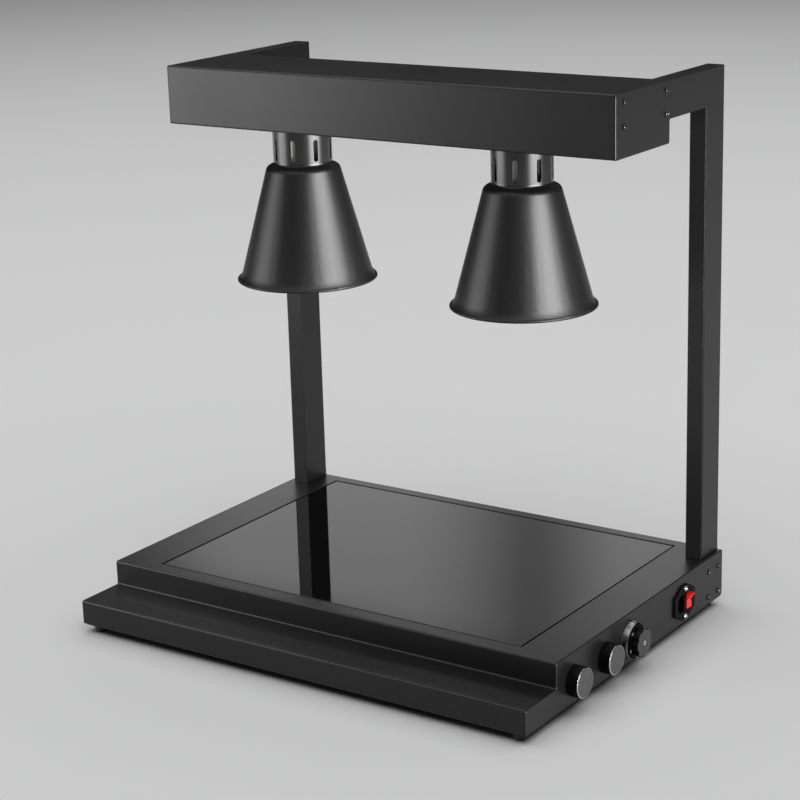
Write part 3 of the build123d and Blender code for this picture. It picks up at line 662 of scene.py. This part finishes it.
def set_pieces(node, pattern, faces, finish, spin, seed, size=1.0):
    """Replaces a node of repeated solids with one piece, set out on their places."""
    name = f"{node}_set"
    mesh = bpy.data.meshes.new(name)
    boxes = loose_parts(node)
    mesh.from_pydata([outer_end(*box, faces(*box)) for box in boxes], [], [])
    layer = mesh.attributes.new("aim", "FLOAT_VECTOR", "POINT")
    for value, box in zip(layer.data, boxes):
        value.vector = faces(*box)
    piece = new_piece(name, mesh, None)
    maker = piece.modifiers.new("set_out", "NODES")
    maker.node_group = set_out
    given = {"Piece": pattern, "Finish": finish, "Size": size, "Spin": spin, "Seed": seed}
    for item in set_out.interface.items_tree:
        if item.name in given:
            maker[item.identifier] = given[item.name]
    smooth(plain_mesh(piece))
    adopt(piece, "warmer", slot_of[node], node)


HEAD_RADIUS = 3.8 * MM
HEAD_HEIGHT = 2.4 * MM
HEAD_DOME = 1.4 * MM
SHANK_RADIUS = 2.0 * MM
SCREW_LENGTH = 14.4 * MM
RECESS_ARM = 2.0 * MM
RECESS_WIDTH = 0.85 * MM
RECESS_DEPTH = 1.5 * MM
RECESS_TAPER = (0.45, 0.35)
CUTTER_SPARE = 0.2 * MM
INLET_SEED = 7
FULL_TURN = 2 * math.pi


def cross_cutter():
    """Two crossed blades for the recess in a screw head, tapered to a share of their size."""
    shape = bmesh.new()
    for turn in (0, math.pi / 2):
        outlines = []
        for along, across, up in ((*RECESS_TAPER, -RECESS_DEPTH), (1.0, 1.0, CUTTER_SPARE)):
            x, y = along * RECESS_ARM, across * RECESS_WIDTH / 2
            corners = ((x, y, up), (-x, y, up), (-x, -y, up), (x, -y, up))
            outlines.append([shape.verts.new(corner) for corner in corners])
        low, high = outlines
        prism(shape, low, high)
        quarter = Matrix.Rotation(turn, 3, "Z")
        bmesh.ops.rotate(shape, verts=low + high, cent=(0, 0, 0), matrix=quarter)
    bmesh.ops.recalc_face_normals(shape, faces=shape.faces)
    return new_piece("cross_cutter", as_mesh("cross_cutter", shape), None)


def screw_pattern():
    """A pan head screw under its own top, with a cross recess."""
    points = [(0, 0), (0, HEAD_RADIUS), (-HEAD_HEIGHT, HEAD_RADIUS), (-HEAD_HEIGHT, SHANK_RADIUS)]
    points += [(-SCREW_LENGTH, SHANK_RADIUS), (-SCREW_LENGTH, 0)]
    profile = soften(points, [HEAD_DOME, 0.2 * MM, 0, 0.5 * MM], 6)
    screw = new_piece("screw_pattern", lathe("screw_pattern", profile, (0, 0, 0), "Z", 32), None)
    cutter = cross_cutter()
    recess = screw.modifiers.new("recess", "BOOLEAN")
    recess.operation = "DIFFERENCE"
    recess.solver = "EXACT"
    recess.use_self = True
    recess.object = cutter
    smooth(plain_mesh(screw))
    bpy.data.objects.remove(cutter)
    return screw


FOOT_BORE = 4.3 * MM
FOOT_BORE_DEPTH = 5.0 * MM


def foot_pattern():
    """A turned rubber foot under its own sole, grooved once and hollow for its screw."""
    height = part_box("feet")[1].z
    points = [
        (-FOOT_BORE_DEPTH, 0),
        (-FOOT_BORE_DEPTH, FOOT_BORE),
        (0, FOOT_BORE),
        (0, 8.0 * MM),
        (-height * 0.70, 8.7 * MM),
        (-height * 0.74, 8.2 * MM),
        (-height * 0.80, 8.2 * MM),
        (-height * 0.84, 8.8 * MM),
        (-height, 9.0 * MM),
        (-height, 0),
    ]
    radii = [0.3 * MM, 0.5 * MM, 1.4 * MM, 0.3 * MM, 0.2 * MM, 0.2 * MM, 0.3 * MM, 0.4 * MM]
    mesh = lathe("foot_pattern", soften(points, radii), (0, 0, 0), "Z", 64)
    return new_piece("foot_pattern", mesh, None)


def downwards(low, high):
    """The way a foot faces, wherever its box is."""
    return (0, 0, -1)


def along_shank(low, high):
    """The way a screw's head faces: away from the middle where it lies across, otherwise down."""
    middle = sum(end.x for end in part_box("base_shell")) / 2
    lies_across = high.x - low.x > high.z - low.z
    return (math.copysign(1, low.x - middle), 0, 0) if lies_across else downwards(low, high)


screw = screw_pattern()
foot = foot_pattern()
for seed, screws in enumerate(("post_screws", "header_screws", "base_screws")):
    set_pieces(screws, screw, along_shank, screw_black, FULL_TURN, seed)
set_pieces("inlet_screws", screw, along_shank, finishes["bright_steel"], FULL_TURN, INLET_SEED)
set_pieces("feet", foot, downwards, finishes["black_rubber"], 0.0, 0)
for pattern in (screw, foot):
    bpy.data.objects.remove(pattern)


# Dimmer knobs


def axis_of(node):
    """The middle of a round node in Y and Z, at its back in X."""
    low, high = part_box(node)
    return Vector((low.x, (low.y + high.y) / 2, (low.z + high.z) / 2))


def depth_of(node):
    """How far a node reaches outwards in X."""
    low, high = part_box(node)
    return high.x - low.x


KNOB_RADIUS = 20.5 * MM
KNOB_GROOVE = KNOB_RADIUS - 0.5 * MM
CAP_RADIUS = 20.2 * MM
POINTER_OFFSET = 12.8 * MM
for end in ENDS:
    length = depth_of(f"dimmer_knob_{end}")
    points = [
        (0, 0),
        (0, KNOB_RADIUS - 0.4 * MM),
        (1.2 * MM, KNOB_RADIUS),
        (length - 1.1 * MM, KNOB_RADIUS),
        (length - 0.9 * MM, KNOB_GROOVE),
        (length - 0.4 * MM, KNOB_GROOVE),
        (length - 0.2 * MM, KNOB_RADIUS - 0.1 * MM),
        (length, CAP_RADIUS - 0.2 * MM),
        (length, 0),
    ]
    radii = [0.5 * MM, 0.6 * MM, 0.1 * MM, 0.1 * MM, 0.1 * MM, 0.05 * MM, 0]
    centre = axis_of(f"dimmer_knob_{end}")
    knob = turned(f"dimmer_knob_{end}_turned", points, radii, centre, 128, finishes["black_plastic"])
    adopt(knob, f"dimmer_{end}", "black_plastic", f"dimmer_knob_{end}")

    front = depth_of(f"dimmer_cap_{end}")
    points = [
        (0, 0),
        (0, CAP_RADIUS),
        (front - 0.9 * MM, CAP_RADIUS),
        (front, CAP_RADIUS - 1.1 * MM),
        (front - 0.15 * MM, CAP_RADIUS - 1.5 * MM),
        (front - 0.25 * MM, 8 * MM),
        (front - 0.30 * MM, 0),
    ]
    radii = [0, 0.25 * MM, 0.2 * MM, 0.1 * MM, 0]
    centre = axis_of(f"dimmer_cap_{end}")
    cap = turned(f"dimmer_cap_{end}_spun", points, radii, centre, 128, finishes["knob_aluminium"])
    adopt(cap, f"dimmer_{end}", "knob_aluminium", f"dimmer_cap_{end}")

    spot = centre + Vector((front - 0.3 * MM, 0, POINTER_OFFSET))
    stud = [(0, 0), (0, 1.3 * MM), (0.25 * MM, 1.1 * MM), (0.12 * MM, 0.8 * MM), (0.12 * MM, 0)]
    radii = [0, 0.08 * MM, 0.1 * MM]
    pointer = turned(f"dimmer_{end}_pointer", stud, radii, spot, 32, finishes["bezel_chrome"])
    adopt(pointer, f"dimmer_{end}", "bezel_chrome")


# Thermostat: bezel with two marks, dial with its numbers, grip with a painted highlight ring on its face


def strip(name, corners, lift):
    """A thin raised mark over an outline, as thick as its lift."""
    shape = bmesh.new()
    low = [shape.verts.new(corner) for corner in corners]
    high = [shape.verts.new(corner + lift) for corner in corners]
    prism(shape, low, high)
    bmesh.ops.recalc_face_normals(shape, faces=shape.faces)
    return as_mesh(name, shape)


def on_dial(centre, along, radius, degrees):
    """A place on a dial, turned from the top towards the rear."""
    angle = math.radians(degrees)
    return centre + Vector((along, radius * math.sin(angle), radius * math.cos(angle)))


BEZEL_RADIUS = 26.5 * MM
BEZEL_INSIDE = 24.0 * MM
BEZEL_BORE = 4.9 * MM
BEZEL_FLOOR = 1.5 * MM
bezel_at = axis_of("thermostat_bezel")
depth = depth_of("thermostat_bezel")
points = [
    (0, BEZEL_BORE),
    (0, BEZEL_RADIUS - 0.3 * MM),
    (0.8 * MM, BEZEL_RADIUS),
    (depth - 1.2 * MM, BEZEL_RADIUS - 1.2 * MM),
    (depth, BEZEL_RADIUS - 1.9 * MM),
    (depth, BEZEL_INSIDE + 0.3 * MM),
    (depth - 1.0 * MM, BEZEL_INSIDE),
    (BEZEL_FLOOR, BEZEL_INSIDE),
    (BEZEL_FLOOR, BEZEL_BORE),
]
radii = [0.2 * MM, 0.4 * MM, 1.0 * MM, 0.2 * MM, 0.1 * MM, 0.4 * MM, 0.5 * MM]
chrome = finishes["bezel_chrome"]
bezel = turned("thermostat_bezel_turned", points, radii, bezel_at, 160, chrome, loop=True)
adopt(bezel, "warmer", "bezel_chrome", "thermostat_bezel")

# Two thin white strokes raised on the top of the bezel.
MARK_SPREAD = 7
MARK_HALF_WIDTH = 1.6
MARK_LIFT = Vector((0, 0, 0.15 * MM))
marks = []
for degrees in (-MARK_SPREAD, MARK_SPREAD):
    before, after = degrees - MARK_HALF_WIDTH, degrees + MARK_HALF_WIDTH
    rear, rear_radius = 2.0 * MM, BEZEL_RADIUS - 0.25 * MM
    front, front_radius = depth - 1.8 * MM, BEZEL_RADIUS - 1.2 * MM
    corners = [
        on_dial(bezel_at, rear, rear_radius, before),
        on_dial(bezel_at, rear, rear_radius, after),
        on_dial(bezel_at, front, front_radius, after),
        on_dial(bezel_at, front, front_radius, before),
    ]
    marks.append(strip("bezel_stroke", corners, MARK_LIFT))
adopt(join("thermostat_index", marks, print_white), "warmer", "ceramic_white")

low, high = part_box("thermostat_dial")
DIAL_RADIUS = (high.y - low.y) / 2
dial_at = axis_of("thermostat_dial")
depth = depth_of("thermostat_dial")
points = [
    (0, 0),
    (0, DIAL_RADIUS - 0.3 * MM),
    (0.6 * MM, DIAL_RADIUS),
    (depth - 1.2 * MM, DIAL_RADIUS),
    (depth, DIAL_RADIUS - 0.7 * MM),
    (depth, 0),
]
radii = [0.2 * MM, 0.4 * MM, 0.6 * MM, 0.4 * MM]
dial = turned("thermostat_dial_turned", points, radii, dial_at, 128, finishes["black_plastic"])
adopt(dial, "thermostat", "black_plastic", "thermostat_dial")

NUMBER_HEIGHT = 4.1 * MM
NUMBER_RADIUS = 21.25 * MM
NUMBER_RELIEF = 0.06 * MM
NUMBER_WEIGHT = 0.14 * MM
FIRST_NUMBER = -44
NUMBER_STEP = -65
upright = Matrix(((0, 0, 1), (1, 0, 0), (0, 1, 0))).to_4x4()
lifted = Matrix.Translation(Vector((0, 0, NUMBER_RADIUS)))
dial_face = Matrix.Translation(dial_at + Vector((depth, 0, 0)))
numbers = []
for index, text in enumerate(("30", "50", "70", "90", "110")):
    curve = bpy.data.curves.new("dial_number", "FONT")
    curve.body = text
    curve.size = NUMBER_HEIGHT
    curve.align_x = "CENTER"
    curve.align_y = "CENTER"
    curve.extrude = NUMBER_RELIEF
    curve.offset = NUMBER_WEIGHT
    lettering = bpy.data.objects.new("dial_number", curve)
    bpy.context.scene.collection.objects.link(lettering)
    mesh = bpy.data.meshes.new_from_object(lettering)
    bpy.data.objects.remove(lettering)
    degrees = FIRST_NUMBER + index * NUMBER_STEP
    turn = Matrix.Rotation(math.radians(-degrees), 4, "X")
    mesh.transform(dial_face @ turn @ lifted @ upright)
    numbers.append(mesh)
adopt(join("thermostat_numbers", numbers, print_white), "thermostat", "ceramic_white")

GRIP_RADIUS = 19.5 * MM
GRIP_EDGE = 1.1 * MM
SCALLOPS = 8
SCALLOP_RADIUS = 6.0 * MM
SCALLOP_DEPTH = 2.0 * MM
SCALLOP_REACH = GRIP_RADIUS + SCALLOP_RADIUS - SCALLOP_DEPTH
SCALLOP_BLEND = 0.5 * MM
GRIP_STEPS = 192
FACE_SHARE = 0.80
grip_at = axis_of("thermostat_grip")
grip_depth = depth_of("thermostat_grip")


def grip_wall(angle):
    """The grip's radius at an angle: a circle with round scallops blended into it."""
    pitch = 2 * math.pi / SCALLOPS
    away = (angle % pitch) - pitch / 2
    side = SCALLOP_REACH * math.sin(away)
    if abs(side) >= SCALLOP_RADIUS:
        return GRIP_RADIUS
    near = SCALLOP_REACH * math.cos(away) - math.sqrt(SCALLOP_RADIUS**2 - side**2)
    if near >= GRIP_RADIUS + 3 * SCALLOP_BLEND:
        return GRIP_RADIUS
    pull = math.exp(-near / SCALLOP_BLEND) + math.exp(-GRIP_RADIUS / SCALLOP_BLEND)
    return -SCALLOP_BLEND * math.log(pull)


def grip_mesh():
    """The grip: scalloped walls, a rounded front edge and a dished face with a shallow ring."""
    walls = [(0.0, 0.0), (grip_depth - GRIP_EDGE, 0.0)]
    for step in range(1, 6):
        angle = math.radians(step * 18)
        rise = grip_depth - GRIP_EDGE + GRIP_EDGE * math.sin(angle)
        walls.append((rise, GRIP_EDGE * (1 - math.cos(angle))))
    dish = ((FACE_SHARE, 0.0), (0.76, 0.25), (0.70, 0.25), (0.66, 0.05), (0.40, 0.15), (0.0, 0.2))
    face_radius = GRIP_RADIUS - SCALLOP_DEPTH - GRIP_EDGE
    angles = [2 * math.pi * index / GRIP_STEPS for index in range(GRIP_STEPS)]
    outlines = [(0.0, [0.0])]
    for along, inset in walls:
        outlines.append((along, [grip_wall(angle) - inset for angle in angles]))
    for share, sink in dish:
        radius = face_radius * share / FACE_SHARE
        outlines.append((grip_depth - sink * MM, [radius] * (GRIP_STEPS if share else 1)))
    shape = bmesh.new()
    rings = []
    for along, reaches in outlines:
        ring = []
        for angle, reach in zip(angles, reaches):
            spot = Vector((along, reach * math.cos(angle), reach * math.sin(angle)))
            ring.append(shape.verts.new(grip_at + spot))
        rings.append(ring)
    skin(shape, rings, GRIP_STEPS)
    mesh = as_mesh("thermostat_grip_moulded", shape)
    smooth(mesh)
    return mesh


grip = new_piece("thermostat_grip_moulded", grip_mesh(), grip_plastic)
adopt(grip, "thermostat", "black_plastic", "thermostat_grip")
# A thin white ring on the grip's face: a painted highlight where the dished face shows a bright
# reflection.
highlight_ring_at = grip_at + Vector((grip_depth - 0.25 * MM, 0, 0))
points = [(0, 1.5 * MM), (0, 3.0 * MM), (0.2 * MM, 2.9 * MM), (0.2 * MM, 1.6 * MM)]
ring = turned("thermostat_ring", points, [0, 0], highlight_ring_at, 48, print_white, loop=True)
adopt(ring, "thermostat", "ceramic_white")


# Rocker switch


eased("rocker", width=0.7 * MM, segments=4, body="switch")


# Bulbs keep their solids' shapes, welded and smooth


for side in SIDES:
    mesh = as_mesh(f"bulb_{side}_blown", merged(f"bulb_{side}"))
    forget_shading(mesh)
    smooth(mesh, 60)
    bulb = new_piece(f"bulb_{side}_blown", mesh, finishes["bulb_glass"])
    adopt(bulb, "warmer", "bulb_glass", f"bulb_{side}")


# Studio: floor, light, camera


FLOOR_RADIUS = 20
bpy.ops.mesh.primitive_circle_add(vertices=96, radius=FLOOR_RADIUS, fill_type="NGON")
floor = bpy.context.object
floor.name = "studio_floor"
floor.data.materials.append(floor_finish())


def picked(name, pieces, state):
    """A list of pieces for a lamp, to be taken in or left out."""
    chosen = bpy.data.collections.new(name)
    for piece in pieces:
        chosen.objects.link(piece)
    for piece in chosen.collection_objects:
        piece.light_linking.link_state = state
    return chosen


def softbox(name, place, facing, size, radiance, fades, only=(), never=(), through=()):
    """A soft lamp, so wide and high, that fades towards its edges over a share of either.

    It may light only some pieces, or all but some, and its light may go through some.
    """
    width, height = size
    lamp = bpy.data.lights.new(name, "AREA")
    lamp.shape = "RECTANGLE"
    lamp.size = width
    lamp.size_y = height
    lamp.energy = radiance * math.pi * width * height
    lamp.use_nodes = True
    wiring = Wiring(lamp.node_tree)
    spot = wiring.node("ShaderNodeNewGeometry", output="Parametric")
    shares = []
    for axis, fade in zip("XY", fades):
        along = wiring.node("ShaderNodeSeparateXYZ", {}, {0: spot}, output=axis)
        off_middle = wiring.node("ShaderNodeMath", {"operation": "ABSOLUTE"}, {0: along - 0.5})
        settings = {"interpolation_type": "SMOOTHSTEP"}
        inputs = {"Value": off_middle, "From Min": 0.5, "From Max": 0.5 - fade}
        shares.append(wiring.node("ShaderNodeMapRange", settings, inputs))
    wiring.feed(lamp.node_tree.nodes["Emission"].inputs["Strength"], shares[0] * shares[1])
    box = bpy.data.objects.new(name, lamp)
    box.location = place
    box.rotation_euler = (Vector(facing) - Vector(place)).to_track_quat("-Z", "Y").to_euler()
    box.visible_camera = False
    bpy.context.scene.collection.objects.link(box)
    if only:
        box.light_linking.receiver_collection = picked(f"{name}_lit", only, "INCLUDE")
    if never:
        box.light_linking.receiver_collection = picked(f"{name}_unlit", never, "EXCLUDE")
    if through:
        box.light_linking.blocker_collection = picked(f"{name}_passed", through, "EXCLUDE")


def wearing(*chosen):
    """The dressed pieces in these finishes."""
    solids = list(nodes.values())
    found = []
    for piece in bpy.data.objects:
        worn = [slot.material for slot in piece.material_slots]
        if piece not in solids and any(finish in chosen for finish in worn):
            found.append(piece)
    return found


left_lamp, right_lamp = wearing(finishes["shade_black"])
others = [piece for piece in bpy.data.objects if piece.type == "MESH" and piece != left_lamp]
glass = wearing(finishes["black_glass"])
deck = glass + [bpy.data.objects["base_shell_eased"]]
bright = [finishes[slot] for slot in ("knob_aluminium", "rocker_red", "bright_steel")]
edged = end_work + wearing(*bright, screw_black)
spared = [floor] + glass
softbox(
    "shade_softbox",
    place=(3.15, -0.55, 1.3),
    facing=(0, 0, 1.0),
    size=(3.0, 3.6),
    radiance=21.0,
    fades=(0.25, 0.30),
    only=[right_lamp],
)
softbox(
    "far_softbox",
    place=(2.83, -0.23, 1.3),
    facing=(-0.37, -0.02, 1.0),
    size=(3.0, 3.6),
    radiance=20.0,
    fades=(0.25, 0.30),
    only=[left_lamp],
    through=others,
)
softbox(
    "right_softbox",
    place=(2.2, -0.60, 1.0),
    facing=(0, 0, 0.7),
    size=(1.8, 1.8),
    radiance=1.4,
    fades=(0.30, 0.30),
    never=spared,
)
softbox(
    "edge_strip",
    place=(1.64, -1.06, 0.33),
    facing=(0, -0.05, 0.33),
    size=(0.6, 0.62),
    radiance=60.0,
    fades=(0.20, 0.15),
    only=edged,
)
softbox(
    "left_softbox",
    place=(-1.65, -1.25, 0.70),
    facing=(0, 0, 0.6),
    size=(1.7, 1.4),
    radiance=5.3,
    fades=(0.25, 0.25),
    never=spared,
)
softbox(
    "rear_left_panel",
    place=(-0.62, 0.62, 0.31),
    facing=(-0.62, 0, 0.31),
    size=(1.24, 0.58),
    radiance=0.98,
    fades=(0.36, 0.30),
    only=deck,
)
softbox(
    "rear_right_panel",
    place=(0.275, 0.66, 0.32),
    facing=(0.275, 0, 0.32),
    size=(1.01, 0.60),
    radiance=0.98,
    fades=(0.23, 0.30),
    only=deck,
)
softbox(
    "overhead_softbox",
    place=(0, 0.6, 6.0),
    facing=(0, 0.6, 0),
    size=(14.0, 14.0),
    radiance=1.36,
    fades=(0.10, 0.10),
)

world = bpy.data.worlds.new("studio_air")
world.use_nodes = True
bpy.context.scene.world = world
air = Wiring(world.node_tree)
sky = air.node("ShaderNodeTexCoord", output="Generated")
height = air.node("ShaderNodeSeparateXYZ", {}, {0: sky}, output="Z")
brightening = {"Value": height, "From Min": 0.12, "To Min": 0.005, "To Max": 0.13}
backdrop = world.node_tree.nodes["Background"]
backdrop.inputs["Color"].default_value = (0.97, 0.98, 1.0, 1.0)
air.feed(backdrop.inputs["Strength"], air.node("ShaderNodeMapRange", {}, brightening))

CAMERA_PLACE = Vector((1.5775, -2.3050, 1.1419))
CAMERA_AZIMUTH = 34.51
CAMERA_ELEVATION = 16.38
CAMERA_ROLL = -1.67
SENSOR_WIDTH = 36.0
FOCAL_LENGTH = 95.93
lens = bpy.data.cameras.new("photo_camera")
lens.sensor_width = SENSOR_WIDTH
lens.lens = FOCAL_LENGTH
lens.clip_end = 100
camera = bpy.data.objects.new("photo_camera", lens)
bpy.context.scene.collection.objects.link(camera)
heading = Matrix.Rotation(math.radians(CAMERA_AZIMUTH), 4, "Z")
tilt = Matrix.Rotation(math.radians(90 - CAMERA_ELEVATION), 4, "X")
roll = Matrix.Rotation(math.radians(CAMERA_ROLL), 4, "Z")
camera.matrix_world = Matrix.Translation(CAMERA_PLACE) @ heading @ tilt @ roll
bpy.context.scene.camera = camera
bpy.context.scene.view_settings.view_transform = "Standard"
